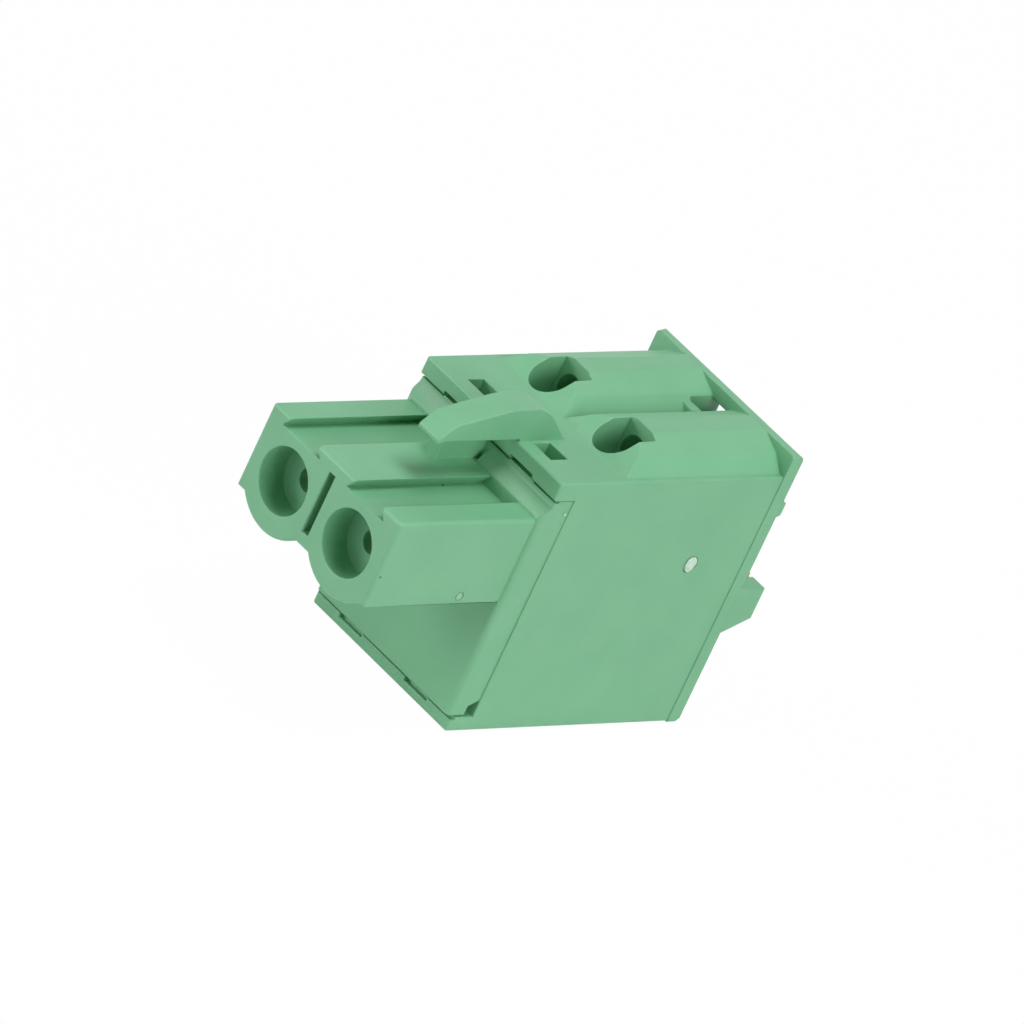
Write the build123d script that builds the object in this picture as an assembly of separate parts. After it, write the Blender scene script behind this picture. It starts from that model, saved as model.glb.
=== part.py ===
from build123d import *
import math
import os

# Pluggable terminal block for two wires, millimetres.
# The wire side faces +Y, the mating nose -Y and the latch deck +Z.
# The origin is the middle of the flat base.

# poles
pole_count = 2
pole_pitch = 7.62
contact_z = 13.72
wire_z = 18.6

# main housing, outside
body_width = 16.07
front_y = -11.7
rear_y = 11.7
deck_z = 21.27
top_plate = 1.47
base_plate = 1.2
parting_y = -9.6
housing_gap = 0.12
edge_round = 0.2

# main housing, inside
divider_wall = 1.52
test_block_front_y = -6.4
test_block_rear_y = 1.1
test_block_under_z = 17.6
rear_wall = 3.5
shelf_y = -4.0
shelf_length = 2.0
shelf_height = 1.5

# ridges over the wire channels
ramp_start_y = -4.9
ramp_angle = 24.0
ridge_top_z = 23.12
ridge_flat = 2.0
ridge_knee_offset = 2.5
ridge_knee_z = 22.1
ridge_side_slope = 0.533
ridge_round = 0.9

# rear rim, bridge and slot between the ridges
rim_thickness = 1.1
rim_top_z = 22.92
rim_overhang = 0.08
rim_foot_chamfer = 0.35
bridge_under_z = 22.17
slot_width = 2.2
slot_floor_z = 20.4
cross_wall_y = 8.0
cross_wall_thickness = 0.9
cross_wall_top_z = 21.92

# small bumps on the rear face
bump_z = 18.37
bump_height = 1.3
bump_width = 0.7
bump_reach = 0.45

# latch claw on the deck
claw_x = 0.35
claw_width = 2.35
claw_round = 0.18
claw_profile = [
    (-19.5, 21.3),
    (-19.56, 21.6),
    (-18.95, 22.22),
    (-17.3, 23.0),
    (-14.4, 23.72),
    (-12.7, 23.97),
    (-10.5, 23.87),
    (-7.05, 21.27),
    (-7.05, 20.9),
    (-11.6, 20.9),
    (-11.6, 21.3),
]

# snap hooks and their windows
latch_shift = 0.12
window_width = 2.08
window_y = -9.43
window_length = 1.66
notch_width = 2.6
notch_height = 0.35
notch_run = 1.1
hook_gap = 0.1
hook_height = 0.45
tongue_reach = 1.4
tongue_thickness = 1.5

# test holes in the ramps
test_x_shift = -0.11
test_y = -2.83
test_tilt = 25.0
test_radius = 1.65
test_depth = 1.6
probe_radius = 0.9
probe_x_shift = -0.18
probe_depth = 4.6

# wire entries
entry_radius = 2.2
entry_mouth_radius = 2.9
entry_mouth_depth = 1.5

# moulding gate marks
gate_y = 5.24
gate_z = 13.88
gate_radius = 0.7
gate_depth = 0.15
nose_gate_y = -16.2
nose_gate_z = 11.5
nose_gate_radius = 0.38
nose_gate_depth = 0.06

# front housing
nose_y = -25.4
nose_width = 15.2
nose_top_z = 17.94
nose_under_z = 10.87
nose_round = 0.3
flange_front_y = -12.12
flange_inset = 0.11
flange_chamfer_run = 0.45
flange_chamfer_drop = 0.62
flange_round = 0.45
flange_core_depth = 1.2
flange_core_width = 5.2
flange_core_z = 6.0
flange_core_height = 7.0
corner_relief_depth = 1.1
corner_relief_length = 0.7
corner_relief_z = 2.07
corner_relief_rise = 0.44

# coding grooves
groove_depth = 0.88
groove_mouth = 3.2
groove_floor = 4.4

# mating sockets
socket_radius = 2.48
socket_depth = 2.5
pin_hole_radius = 0.9
socket_floor = 0.9
socket_core_radius = 1.8
nose_slot_width = 0.7
nose_slot_under_z = 11.89
nose_slot_top_z = 16.97
nose_slot_depth = 9.0

# socket contact
contact_radius = 1.3
contact_bore = 0.65
contact_front_y = -21.9
contact_length = 8.9
contact_bore_depth = 7.9
contact_slit = 0.3
contact_slit_length = 6.4
tail_width = 3.0
tail_thickness = 0.8
tail_end_y = -2.5

# outer spring round the contact
over_gap = 0.08
over_wall = 0.24
over_front_y = -21.0
over_length = 5.0
over_slit = 0.5

# current bar
bar_width = 4.0
bar_thickness = 0.9
bar_under_z = 20.1
bar_front_y = 1.2
bar_rear_y = 7.8
bar_foot_y = -7.0
bar_bend = 0.9
bar_gap = 0.05

# clamp spring
spring_width = 4.4
spring_strip = 0.4
spring_foot_top_z = 15.2
spring_under_z = 4.2
spring_span = 3.8
spring_knee_z = 12.6
spring_tip_y = 3.3
spring_tip_gap = 0.05
spring_bends = [1.7, 1.7, 1.5]

# release button
button_width = 5.4
button_height = 2.4
button_z = 10.62
button_end_y = 14.0
button_gap = 0.08
button_play = 0.05
shoulder_width = 5.8
shoulder_height = 3.6
button_round = 0.2
tool_groove_width = 3.0
tool_groove_height = 0.8
tool_groove_depth = 0.5

# guard ledge round the buttons
ledge_end_y = 14.2
ledge_top_z = 11.57
ledge_under_z = 8.94
ledge_root_z = 7.66

half_width = body_width / 2
flange_width = body_width - 2 * flange_inset
chamber_width = pole_pitch - divider_wall
plate_under_z = deck_z - top_plate
rear_wall_y = rear_y - rear_wall
ceiling_z = bar_under_z + bar_thickness + bar_gap
bar_foot_under_z = contact_z - tail_thickness / 2 - bar_thickness
shelf_top_z = bar_foot_under_z - bar_gap
flange_top_z = plate_under_z - housing_gap
flange_under_z = base_plate + housing_gap
flange_rear_y = parting_y - housing_gap
socket_core_y = nose_y + socket_depth + socket_floor


def pole_x(index):
    return (index - (pole_count - 1) / 2) * pole_pitch


def latch_x(index):
    return pole_x(index) + math.copysign(latch_shift, pole_x(index))


def block(x0, x1, y0, y1, z0, z1):
    centre = ((x0 + x1) / 2, (y0 + y1) / 2, (z0 + z1) / 2)
    return Pos(*centre) * Box(x1 - x0, y1 - y0, z1 - z0)


def cylinder_y(x, z, radius, y0, y1):
    return Pos(x, (y0 + y1) / 2, z) * Rot(90, 0, 0) * Cylinder(radius, y1 - y0)


def side_prism(points, x0, x1):
    # closed outline in (y, z), extruded along x
    face = Plane.YZ.offset(x0) * make_face(Polyline(*points, close=True))
    return extrude(face, x1 - x0, dir=(1, 0, 0))


def front_prism(face, y0, y1):
    # face in (x, z), extruded along y
    return extrude(Plane.XZ.offset(-y0) * face, y1 - y0, dir=(0, 1, 0))


def ridge_outline():
    # one ridge after another in (x, z); neighbours meet in a valley
    tip_points = []
    for index in range(pole_count):
        x = pole_x(index)
        tip_points.append((x - ridge_knee_offset, ridge_knee_z))
        tip_points.append((x - ridge_flat / 2, ridge_top_z))
        tip_points.append((x + ridge_flat / 2, ridge_top_z))
        tip_points.append((x + ridge_knee_offset, ridge_knee_z))
        if index < pole_count - 1:
            run = pole_pitch / 2 - ridge_knee_offset
            tip_points.append((x + pole_pitch / 2, ridge_knee_z - run * ridge_side_slope))
    outer_run = half_width - pole_x(pole_count - 1) - ridge_knee_offset
    outer_z = ridge_knee_z - outer_run * ridge_side_slope
    low_z = deck_z - 1.0
    right = [(half_width, outer_z), (half_width, low_z)]
    left = [(-half_width, low_z), (-half_width, outer_z)]
    return tip_points + right + left


def ridges():
    outline = ridge_outline()
    face = make_face(Polyline(*outline, close=True))
    knees = [vertex for vertex in face.vertices() if vertex.Y > ridge_knee_z - 0.2]
    face = fillet(knees, ridge_round)
    solid = front_prism(face, ramp_start_y, rear_y - rim_thickness / 2)
    rise = 6.0
    run = rise / math.tan(math.radians(ramp_angle))
    above_ramp = [
        (ramp_start_y - 1, deck_z - math.tan(math.radians(ramp_angle))),
        (ramp_start_y + run, deck_z + rise),
        (ramp_start_y - 1, deck_z + rise),
    ]
    return solid - side_prism(above_ramp, -body_width, body_width)


def claw():
    solid = side_prism(claw_profile, claw_x, claw_x + claw_width)
    top_edges = []
    for edge in solid.edges():
        box = edge.bounding_box()
        if box.size.X < 0.01 and box.min.Z > deck_z + 0.1:
            top_edges.append(edge)
    return fillet(top_edges, claw_round)


def ledge():
    outline = [
        (rear_y - 0.5, ledge_top_z),
        (ledge_end_y, ledge_top_z),
        (ledge_end_y, ledge_under_z),
        (rear_y, ledge_root_z),
        (rear_y - 0.5, ledge_root_z),
    ]
    return side_prism(outline, -half_width, half_width)


def rear_rim():
    half = half_width + rim_overhang
    outline = [
        (rear_y - rim_thickness, 0),
        (rear_y - rim_foot_chamfer, 0),
        (rear_y, rim_foot_chamfer),
        (rear_y, rim_top_z),
        (rear_y - rim_thickness, rim_top_z),
    ]
    return side_prism(outline, -half, half)


def rear_bumps():
    bumps = []
    low = bump_z - bump_height / 2
    high = bump_z + bump_height / 2
    outline = [
        (rear_y - 0.3, low),
        (rear_y, low),
        (rear_y + bump_reach, low + bump_reach / 2),
        (rear_y + bump_reach, high),
        (rear_y - 0.3, high),
    ]
    for side in (-1, 1):
        inner = side * (half_width - bump_width)
        outer = side * half_width
        bumps.append(side_prism(outline, min(inner, outer), max(inner, outer)))
    return bumps


def body_shell():
    outline = [
        (front_y, 0),
        (rear_y - rim_thickness / 2, 0),
        (rear_y - rim_thickness / 2, deck_z),
        (front_y, deck_z),
        (front_y, plate_under_z),
        (parting_y, plate_under_z),
        (parting_y, base_plate),
        (front_y, base_plate),
    ]
    solid = side_prism(outline, -half_width, half_width)
    outer_edges = []
    for edge in solid.edges():
        centre = edge.center()
        at_side = abs(abs(centre.X) - half_width) < 0.01
        at_front = abs(centre.Y - front_y) < 0.01
        if at_side and abs(centre.Z - deck_z) < 0.01:
            outer_edges.append(edge)
        elif at_front:
            outer_edges.append(edge)
        elif at_side and abs(centre.Z) < 0.01:
            outer_edges.append(edge)
    return fillet(outer_edges, edge_round)


def chamber(index):
    x = pole_x(index)
    x0 = x - chamber_width / 2
    x1 = x + chamber_width / 2
    front = block(x0, x1, parting_y - 1, test_block_front_y, base_plate, plate_under_z)
    middle = block(x0, x1, parting_y - 1, rear_wall_y, base_plate, test_block_under_z)
    back = block(x0, x1, test_block_rear_y, rear_wall_y, base_plate, ceiling_z)
    shelf = block(
        x0 - 0.2,
        x1 + 0.2,
        shelf_y - shelf_length / 2,
        shelf_y + shelf_length / 2,
        shelf_top_z - shelf_height,
        shelf_top_z,
    )
    return front + middle + back - shelf


def latch_windows(index):
    # a window and a lead-in notch in the deck, and the same in the base plate
    x = latch_x(index)
    x0 = x - window_width / 2
    x1 = x + window_width / 2
    y0 = window_y - window_length / 2
    y1 = window_y + window_length / 2
    window_top = block(x0, x1, y0, y1, plate_under_z - 0.5, deck_z + 1)
    window_base = block(x0, x1, y0, y1, -1, base_plate + 0.5)
    notch_top = [
        (front_y - 1, plate_under_z - 0.5),
        (front_y - 1, plate_under_z + notch_height),
        (front_y, plate_under_z + notch_height),
        (front_y + notch_run, plate_under_z),
        (front_y + notch_run, plate_under_z - 0.5),
    ]
    notch_base = [(y, plate_under_z + base_plate - z) for y, z in notch_top]
    cuts = [window_top, window_base]
    for outline in (notch_top, notch_base):
        cuts.append(side_prism(outline, x - notch_width / 2, x + notch_width / 2))
    return cuts


def test_hole(index):
    # a wide round mouth on the ramp and a narrow probe hole from its floor to the current bar
    mouth_z = deck_z + (test_y - ramp_start_y) * math.tan(math.radians(ramp_angle))
    place = Pos(pole_x(index) + test_x_shift, test_y, mouth_z) * Rot(-90 - test_tilt, 0, 0)
    above = 4.0
    wide = Pos(0, 0, (test_depth - above) / 2) * Cylinder(test_radius, test_depth + above)
    narrow = Pos(probe_x_shift, 0, probe_depth / 2) * Cylinder(probe_radius, probe_depth)
    return place * (wide + narrow)


def wire_entry(index):
    x = pole_x(index)
    throat = cylinder_y(x, wire_z, entry_radius, rear_wall_y - 0.5, rear_y + 0.5)
    place = Pos(x, rear_y - entry_mouth_depth / 2, wire_z) * Rot(-90, 0, 0)
    mouth = place * Cone(entry_radius, entry_mouth_radius, entry_mouth_depth)
    return throat + mouth


def button_slot(index):
    x = pole_x(index)
    half = button_width / 2 + button_gap
    low = button_z - button_height / 2 - button_gap
    high = button_z + button_height / 2 + button_gap
    through = block(x - half, x + half, rear_wall_y - 0.5, rear_y + 0.01, low, high)
    open_top = block(x - half, x + half, rear_y, ledge_end_y + 1, low, high)
    return through + open_top


def main_housing():
    solid = body_shell() + ridges() + rear_rim() + ledge() + claw()
    for bump in rear_bumps():
        solid += bump
    wall_y0 = cross_wall_y - cross_wall_thickness / 2
    wall_y1 = cross_wall_y + cross_wall_thickness / 2
    solid += block(-1.4, 1.4, wall_y0, wall_y1, deck_z - 0.5, cross_wall_top_z)
    half_slot = slot_width / 2
    solid -= block(-half_slot, half_slot, wall_y1, rear_y + 1, slot_floor_z, bridge_under_z)
    open_slot = block(
        -half_slot, half_slot, wall_y1, rear_y - rim_thickness, slot_floor_z, rim_top_z + 1
    )
    solid -= open_slot
    for index in range(pole_count):
        solid -= chamber(index)
        solid -= test_hole(index)
        solid -= wire_entry(index)
        solid -= button_slot(index)
        for cut in latch_windows(index):
            solid -= cut
    gate = Pos(half_width, gate_y, gate_z) * Rot(0, 90, 0)
    return solid - gate * Cylinder(gate_radius, 2 * gate_depth)


def nose_body():
    half = nose_width / 2
    lobe_radius = half - pole_x(pole_count - 1)
    profile = Pos(0, (nose_top_z + nose_under_z) / 2) * Rectangle(
        nose_width, nose_top_z - nose_under_z
    )
    top_corners = profile.vertices().filter_by(lambda v: v.Y > contact_z)
    profile = fillet(top_corners, nose_round)
    for index in range(pole_count):
        profile += Pos(pole_x(index), contact_z) * Circle(lobe_radius)
    solid = front_prism(profile, nose_y, flange_front_y + 0.3)
    front_edges = solid.faces().sort_by(Axis.Y)[0].edges()
    return fillet(front_edges, nose_round)


def groove(index):
    # dovetail groove for a coding piece, wider at its floor
    floor_z = nose_top_z - groove_depth
    over = 0.5
    spread = (groove_floor - groove_mouth) / 2 / groove_depth
    half_over = groove_mouth / 2 - spread * over
    outline = [
        (-groove_floor / 2, floor_z),
        (groove_floor / 2, floor_z),
        (half_over, nose_top_z + over),
        (-half_over, nose_top_z + over),
    ]
    face = make_face(Polyline(*outline, close=True))
    return Pos(pole_x(index), 0, 0) * front_prism(face, nose_y - 1, flange_front_y)


def flange():
    outline = [
        (flange_front_y, flange_under_z),
        (flange_rear_y, flange_under_z),
        (flange_rear_y, flange_top_z),
        (flange_front_y + flange_chamfer_run, flange_top_z),
        (flange_front_y, flange_top_z - flange_chamfer_drop),
    ]
    solid = side_prism(outline, -flange_width / 2, flange_width / 2)
    side_edges = []
    for edge in solid.edges():
        centre = edge.center()
        upright = edge.bounding_box().size.Z > 2 * flange_chamfer_drop
        if upright and abs(centre.Y - flange_front_y) < 0.01:
            side_edges.append(edge)
    return fillet(side_edges, flange_round)


def corner_reliefs():
    outline = [
        (flange_rear_y + 1, flange_under_z - 1),
        (flange_rear_y - corner_relief_length, flange_under_z - 1),
        (flange_rear_y - corner_relief_length, corner_relief_z),
        (flange_rear_y, corner_relief_z + corner_relief_rise),
        (flange_rear_y + 1, corner_relief_z + corner_relief_rise),
    ]
    cuts = []
    for side in (-1, 1):
        inner = side * (flange_width / 2 - corner_relief_depth)
        outer = side * (half_width + 1)
        cuts.append(side_prism(outline, min(inner, outer), max(inner, outer)))
    return cuts


def snap_tongue(index):
    # a tongue behind the flange with a hook that stands up into the window
    x = latch_x(index)
    half = window_width / 2 - hook_gap
    catch_y = window_y - window_length / 2 + hook_gap
    ramp_y = window_y + window_length / 2 - hook_gap
    end_y = flange_rear_y + tongue_reach
    hook_top = flange_top_z + hook_height
    outline = [
        (catch_y - 0.6, flange_top_z - tongue_thickness),
        (end_y, flange_top_z - tongue_thickness),
        (end_y, flange_top_z),
        (ramp_y, flange_top_z),
        (catch_y + 0.5, hook_top),
        (catch_y, hook_top),
        (catch_y, flange_top_z),
        (catch_y - 0.6, flange_top_z),
    ]
    lower = [(y, plate_under_z + base_plate - z) for y, z in outline]
    return [side_prism(points, x - half, x + half) for points in (outline, lower)]


def flange_core(index):
    # shallow core behind the flange that keeps its wall thin
    x = pole_x(index)
    y0 = flange_rear_y - flange_core_depth
    z0 = flange_core_z - flange_core_height / 2
    z1 = flange_core_z + flange_core_height / 2
    half = flange_core_width / 2
    return block(x - half, x + half, y0, flange_rear_y + 1, z0, z1)


def front_housing():
    solid = nose_body() + flange()
    for index in range(pole_count):
        for tongue in snap_tongue(index):
            solid += tongue
    for index in range(pole_count):
        x = pole_x(index)
        solid -= groove(index)
        solid -= cylinder_y(x, contact_z, socket_radius, nose_y - 1, nose_y + socket_depth)
        solid -= cylinder_y(x, contact_z, pin_hole_radius, nose_y, socket_core_y + 1)
        solid -= cylinder_y(x, contact_z, socket_core_radius, socket_core_y, flange_rear_y + 1)
        solid -= flange_core(index)
    half_slot = nose_slot_width / 2
    slot_end = nose_y + nose_slot_depth
    solid -= block(-half_slot, half_slot, nose_y - 1, slot_end, nose_slot_under_z, nose_slot_top_z)
    for relief in corner_reliefs():
        solid -= relief
    gate = Pos(nose_width / 2, nose_gate_y, nose_gate_z) * Rot(0, 90, 0)
    return solid - gate * Cylinder(nose_gate_radius, 2 * nose_gate_depth)


def socket_contact(index):
    x = pole_x(index)
    end_y = contact_front_y + contact_length
    solid = cylinder_y(x, contact_z, contact_radius, contact_front_y, end_y)
    bore_end = contact_front_y + contact_bore_depth
    solid -= cylinder_y(x, contact_z, contact_bore, contact_front_y - 1, bore_end)
    slit_end = contact_front_y + contact_slit_length
    half_slit = contact_slit / 2
    solid -= block(
        x - contact_radius - 1,
        x + contact_radius + 1,
        contact_front_y - 1,
        slit_end,
        contact_z - half_slit,
        contact_z + half_slit,
    )
    half_tail = tail_thickness / 2
    return solid + block(
        x - tail_width / 2,
        x + tail_width / 2,
        end_y - 0.4,
        tail_end_y,
        contact_z - half_tail,
        contact_z + half_tail,
    )


def over_spring(index):
    x = pole_x(index)
    inner = contact_radius + over_gap
    outer = inner + over_wall
    end_y = over_front_y + over_length
    solid = cylinder_y(x, contact_z, outer, over_front_y, end_y)
    solid -= cylinder_y(x, contact_z, inner, over_front_y - 1, end_y + 1)
    half_slit = over_slit / 2
    return solid - block(
        x - half_slit, x + half_slit, over_front_y - 1, end_y + 1, contact_z, contact_z + outer + 1
    )


def strip(points, bends, thickness, width, x):
    # flat strip bent along a line in (y, z), centred on x
    line = FilletPolyline(*points, radius=bends)
    face = Plane.YZ.offset(x - width / 2) * trace(line, thickness)
    return extrude(face, width, dir=(1, 0, 0))


def current_bar(index):
    half = bar_thickness / 2
    points = [
        (bar_foot_y, bar_foot_under_z + half),
        (bar_front_y + half, bar_foot_under_z + half),
        (bar_front_y + half, bar_under_z + half),
        (bar_rear_y, bar_under_z + half),
    ]
    return strip(points, bar_bend, bar_thickness, bar_width, pole_x(index))


def spring_rear_y():
    return bar_front_y + bar_thickness + spring_strip / 2 + spring_span


def clamp_spring(index):
    # a loop: its foot lies on the bar, its rear leg meets the button, its tip nips the wire
    half = spring_strip / 2
    foot_y = bar_front_y + bar_thickness + half
    knee = (spring_rear_y(), spring_knee_z)
    tip_low = (spring_tip_y, bar_under_z)
    lean = math.atan2(knee[0] - tip_low[0], tip_low[1] - knee[1])
    tip = (spring_tip_y, bar_under_z - spring_tip_gap - half * math.sin(lean))
    points = [
        (foot_y, spring_foot_top_z),
        (foot_y, spring_under_z),
        (spring_rear_y(), spring_under_z),
        knee,
        tip,
    ]
    return strip(points, spring_bends, spring_strip, spring_width, pole_x(index))


def release_button(index):
    x = pole_x(index)
    tip_y = spring_rear_y() + spring_strip / 2 + button_play
    half = button_width / 2
    low = button_z - button_height / 2
    high = button_z + button_height / 2
    shank = block(x - half, x + half, tip_y, button_end_y, low, high)
    end_edges = shank.faces().sort_by(Axis.Y)[-1].edges()
    shank = fillet(end_edges, button_round)
    shoulder = block(
        x - shoulder_width / 2,
        x + shoulder_width / 2,
        tip_y,
        rear_wall_y - button_play,
        button_z - shoulder_height / 2,
        button_z + shoulder_height / 2,
    )
    groove_half = tool_groove_height / 2
    tool_groove = block(
        x - tool_groove_width / 2,
        x + tool_groove_width / 2,
        button_end_y - tool_groove_depth,
        button_end_y + 1,
        button_z - groove_half,
        button_z + groove_half,
    )
    return shank + shoulder - tool_groove


os.makedirs("parts", exist_ok=True)
export_step(main_housing(), "parts/main_housing.step")
export_step(front_housing(), "parts/front_housing.step")
for index in range(pole_count):
    number = index + 1
    export_step(socket_contact(index), f"parts/socket_contact_{number}.step")
    export_step(over_spring(index), f"parts/over_spring_{number}.step")
    export_step(current_bar(index), f"parts/current_bar_{number}.step")
    export_step(clamp_spring(index), f"parts/clamp_spring_{number}.step")
    export_step(release_button(index), f"parts/release_button_{number}.step")
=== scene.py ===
import bpy
import bmesh
import math
from mathutils import Matrix, Vector


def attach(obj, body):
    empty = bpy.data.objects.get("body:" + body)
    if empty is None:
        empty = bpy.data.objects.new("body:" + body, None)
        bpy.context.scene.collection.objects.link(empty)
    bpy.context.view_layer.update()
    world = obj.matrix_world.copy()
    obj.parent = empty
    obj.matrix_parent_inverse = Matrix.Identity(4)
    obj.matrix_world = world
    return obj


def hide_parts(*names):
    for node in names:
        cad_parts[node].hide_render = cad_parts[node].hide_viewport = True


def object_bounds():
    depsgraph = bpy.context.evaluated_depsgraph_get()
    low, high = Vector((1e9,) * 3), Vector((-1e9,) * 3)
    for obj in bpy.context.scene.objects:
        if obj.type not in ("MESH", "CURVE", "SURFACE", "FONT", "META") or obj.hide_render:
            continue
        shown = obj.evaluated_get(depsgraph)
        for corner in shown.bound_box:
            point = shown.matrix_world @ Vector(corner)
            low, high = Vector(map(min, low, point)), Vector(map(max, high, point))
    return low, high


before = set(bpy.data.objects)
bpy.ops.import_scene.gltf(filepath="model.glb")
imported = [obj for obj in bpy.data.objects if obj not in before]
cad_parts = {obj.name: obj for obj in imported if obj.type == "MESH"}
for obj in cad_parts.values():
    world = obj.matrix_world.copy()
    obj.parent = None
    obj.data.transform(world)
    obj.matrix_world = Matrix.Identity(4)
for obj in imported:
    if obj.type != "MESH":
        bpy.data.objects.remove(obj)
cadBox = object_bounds()
print("frame loaded")

mm = 0.001

# camera: a long lens, tilted over as in the photograph
cameraSettings = {
    "place": (0.71096, -0.88503, 0.53188),
    "right": (0.59059, 0.70694, 0.38916),
    "up": (-0.56982, 0.02385, 0.82142),
    "back": (0.57141, -0.70688, 0.41691),
    "lens": 617.23,
    "sensor": 36.0,
    "near": 0.05,
    "far": 20.0,
}

stageSettings = {
    "floorSize": 3.0,
    "floorColour": (0.9, 0.9, 0.9, 1.0),
    "floorRoughness": 0.9,
    "whiteForCamera": 0.98,  # share of plain white that the camera sees on the floor
    "skyLight": 0.01,
    "skyForCamera": 1.0,
}

# soft lamps, all aimed at the object
lampAim = (0, 0, 0.01)
lampSettings = {
    "rightLamp": {"place": (0.85, -0.1, 0.35), "size": 0.5, "watts": 4.9},
    "topLamp": {"place": (0.1, 0.05, 0.95), "size": 0.5, "watts": 5.9},
    "lowLeftLamp": {"place": (-0.65, -0.7, 0.15), "size": 0.5, "watts": 5.1},
    "frontLamp": {"place": (-0.1, -0.85, 0.4), "size": 0.5, "watts": 1.1},
}


def linkObject(obj):
    bpy.context.scene.collection.objects.link(obj)
    return obj


def selectOnly(obj):
    bpy.ops.object.select_all(action="DESELECT")
    obj.select_set(True)
    bpy.context.view_layer.objects.active = obj


# camera and stage
def makeCamera():
    cam = bpy.data.cameras.new("photoCamera")
    cam.sensor_width = cameraSettings["sensor"]
    cam.lens = cameraSettings["lens"]
    cam.clip_start = cameraSettings["near"]
    cam.clip_end = cameraSettings["far"]
    obj = linkObject(bpy.data.objects.new("photoCamera", cam))
    columns = (cameraSettings["right"], cameraSettings["up"], cameraSettings["back"])
    turn = Matrix(columns).transposed().to_4x4()
    obj.matrix_world = Matrix.Translation(cameraSettings["place"]) @ turn
    bpy.context.scene.camera = obj
    print("camera set")


def seenFlag(nodes, links):
    # 1 for rays that come straight from the camera or through glass or a mirror
    path = nodes.new("ShaderNodeLightPath")
    first = nodes.new("ShaderNodeMath")
    first.operation = "MAXIMUM"
    second = nodes.new("ShaderNodeMath")
    second.operation = "MAXIMUM"
    links.new(path.outputs["Is Camera Ray"], first.inputs[0])
    links.new(path.outputs["Is Glossy Ray"], first.inputs[1])
    links.new(first.outputs[0], second.inputs[0])
    links.new(path.outputs["Is Transmission Ray"], second.inputs[1])
    return second.outputs[0]


def makeWorld():
    world = bpy.data.worlds.new("paleStudio")
    world.use_nodes = True
    tree = world.node_tree
    nodes, links = tree.nodes, tree.links
    nodes.clear()
    out = nodes.new("ShaderNodeOutputWorld")
    light = nodes.new("ShaderNodeBackground")
    light.name = "skyLight"
    light.inputs["Color"].default_value = (1, 1, 1, 1)
    light.inputs["Strength"].default_value = stageSettings["skyLight"]
    seen = nodes.new("ShaderNodeBackground")
    seen.inputs["Color"].default_value = (1, 1, 1, 1)
    seen.inputs["Strength"].default_value = stageSettings["skyForCamera"]
    mix = nodes.new("ShaderNodeMixShader")
    links.new(seenFlag(nodes, links), mix.inputs[0])
    links.new(light.outputs[0], mix.inputs[1])
    links.new(seen.outputs[0], mix.inputs[2])
    links.new(mix.outputs[0], out.inputs["Surface"])
    bpy.context.scene.world = world


def makeFloor():
    size = stageSettings["floorSize"]
    bpy.ops.object.select_all(action="DESELECT")
    bpy.ops.mesh.primitive_plane_add(size=size, location=(0, 0, cadBox[0][2]))
    floor = bpy.context.object
    floor.name = "paleFloor"
    material = bpy.data.materials.new("paleFloor")
    material.use_nodes = True
    tree = material.node_tree
    nodes, links = tree.nodes, tree.links
    out = nodes["Material Output"]
    card = nodes["Principled BSDF"]
    card.inputs["Base Color"].default_value = stageSettings["floorColour"]
    card.inputs["Roughness"].default_value = stageSettings["floorRoughness"]
    card.inputs["Specular IOR Level"].default_value = 0.0
    white = nodes.new("ShaderNodeEmission")
    white.inputs["Color"].default_value = (1, 1, 1, 1)
    white.inputs["Strength"].default_value = 1.0
    share = nodes.new("ShaderNodeMath")
    share.operation = "MULTIPLY"
    share.inputs[1].default_value = stageSettings["whiteForCamera"]
    links.new(seenFlag(nodes, links), share.inputs[0])
    mix = nodes.new("ShaderNodeMixShader")
    links.new(share.outputs[0], mix.inputs[0])
    links.new(card.outputs[0], mix.inputs[1])
    links.new(white.outputs[0], mix.inputs[2])
    links.new(mix.outputs[0], out.inputs["Surface"])
    floor.data.materials.append(material)


def makeLamps():
    for name, settings in lampSettings.items():
        lamp = bpy.data.lights.new(name, "AREA")
        lamp.shape = "SQUARE"
        lamp.size = settings["size"]
        lamp.energy = settings["watts"]
        obj = linkObject(bpy.data.objects.new(name, lamp))
        obj.location = settings["place"]
        aim = Vector(lampAim) - Vector(settings["place"])
        obj.rotation_euler = aim.to_track_quat("-Z", "Y").to_euler()


# shared shader groups; a span is the part of a noise or mask that is stretched to full range
groupSettings = {
    "noiseSpan": (0.3, 0.7),
    "highlightSpan": (0.35, 0.65),
    "edgeSpan": (0.75, 0.995),
    "cloudDetail": 3.0,
    "grainDetail": 4.0,
    "highlightDetail": 3.0,
    "edgeSamples": 6,
}


def newGroup(name, inputs, outputs):
    group = bpy.data.node_groups.new(name, "ShaderNodeTree")
    for label, kind, value in inputs:
        socket = group.interface.new_socket(name=label, in_out="INPUT", socket_type=kind)
        socket.default_value = value
    for label, kind in outputs:
        group.interface.new_socket(name=label, in_out="OUTPUT", socket_type=kind)
    entry = group.nodes.new("NodeGroupInput")
    leave = group.nodes.new("NodeGroupOutput")
    return group, entry, leave


def addNoise(group, entry, scaleName, detail, vector):
    noise = group.nodes.new("ShaderNodeTexNoise")
    noise.inputs["Detail"].default_value = detail
    group.links.new(entry.outputs[scaleName], noise.inputs["Scale"])
    group.links.new(vector, noise.inputs["Vector"])
    return noise


def mixColours(group, factor, first, second):
    mix = group.nodes.new("ShaderNodeMix")
    mix.data_type = "RGBA"
    group.links.new(factor, mix.inputs["Factor"])
    group.links.new(first, mix.inputs[6])
    group.links.new(second, mix.inputs[7])
    return mix.outputs[2]


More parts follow.
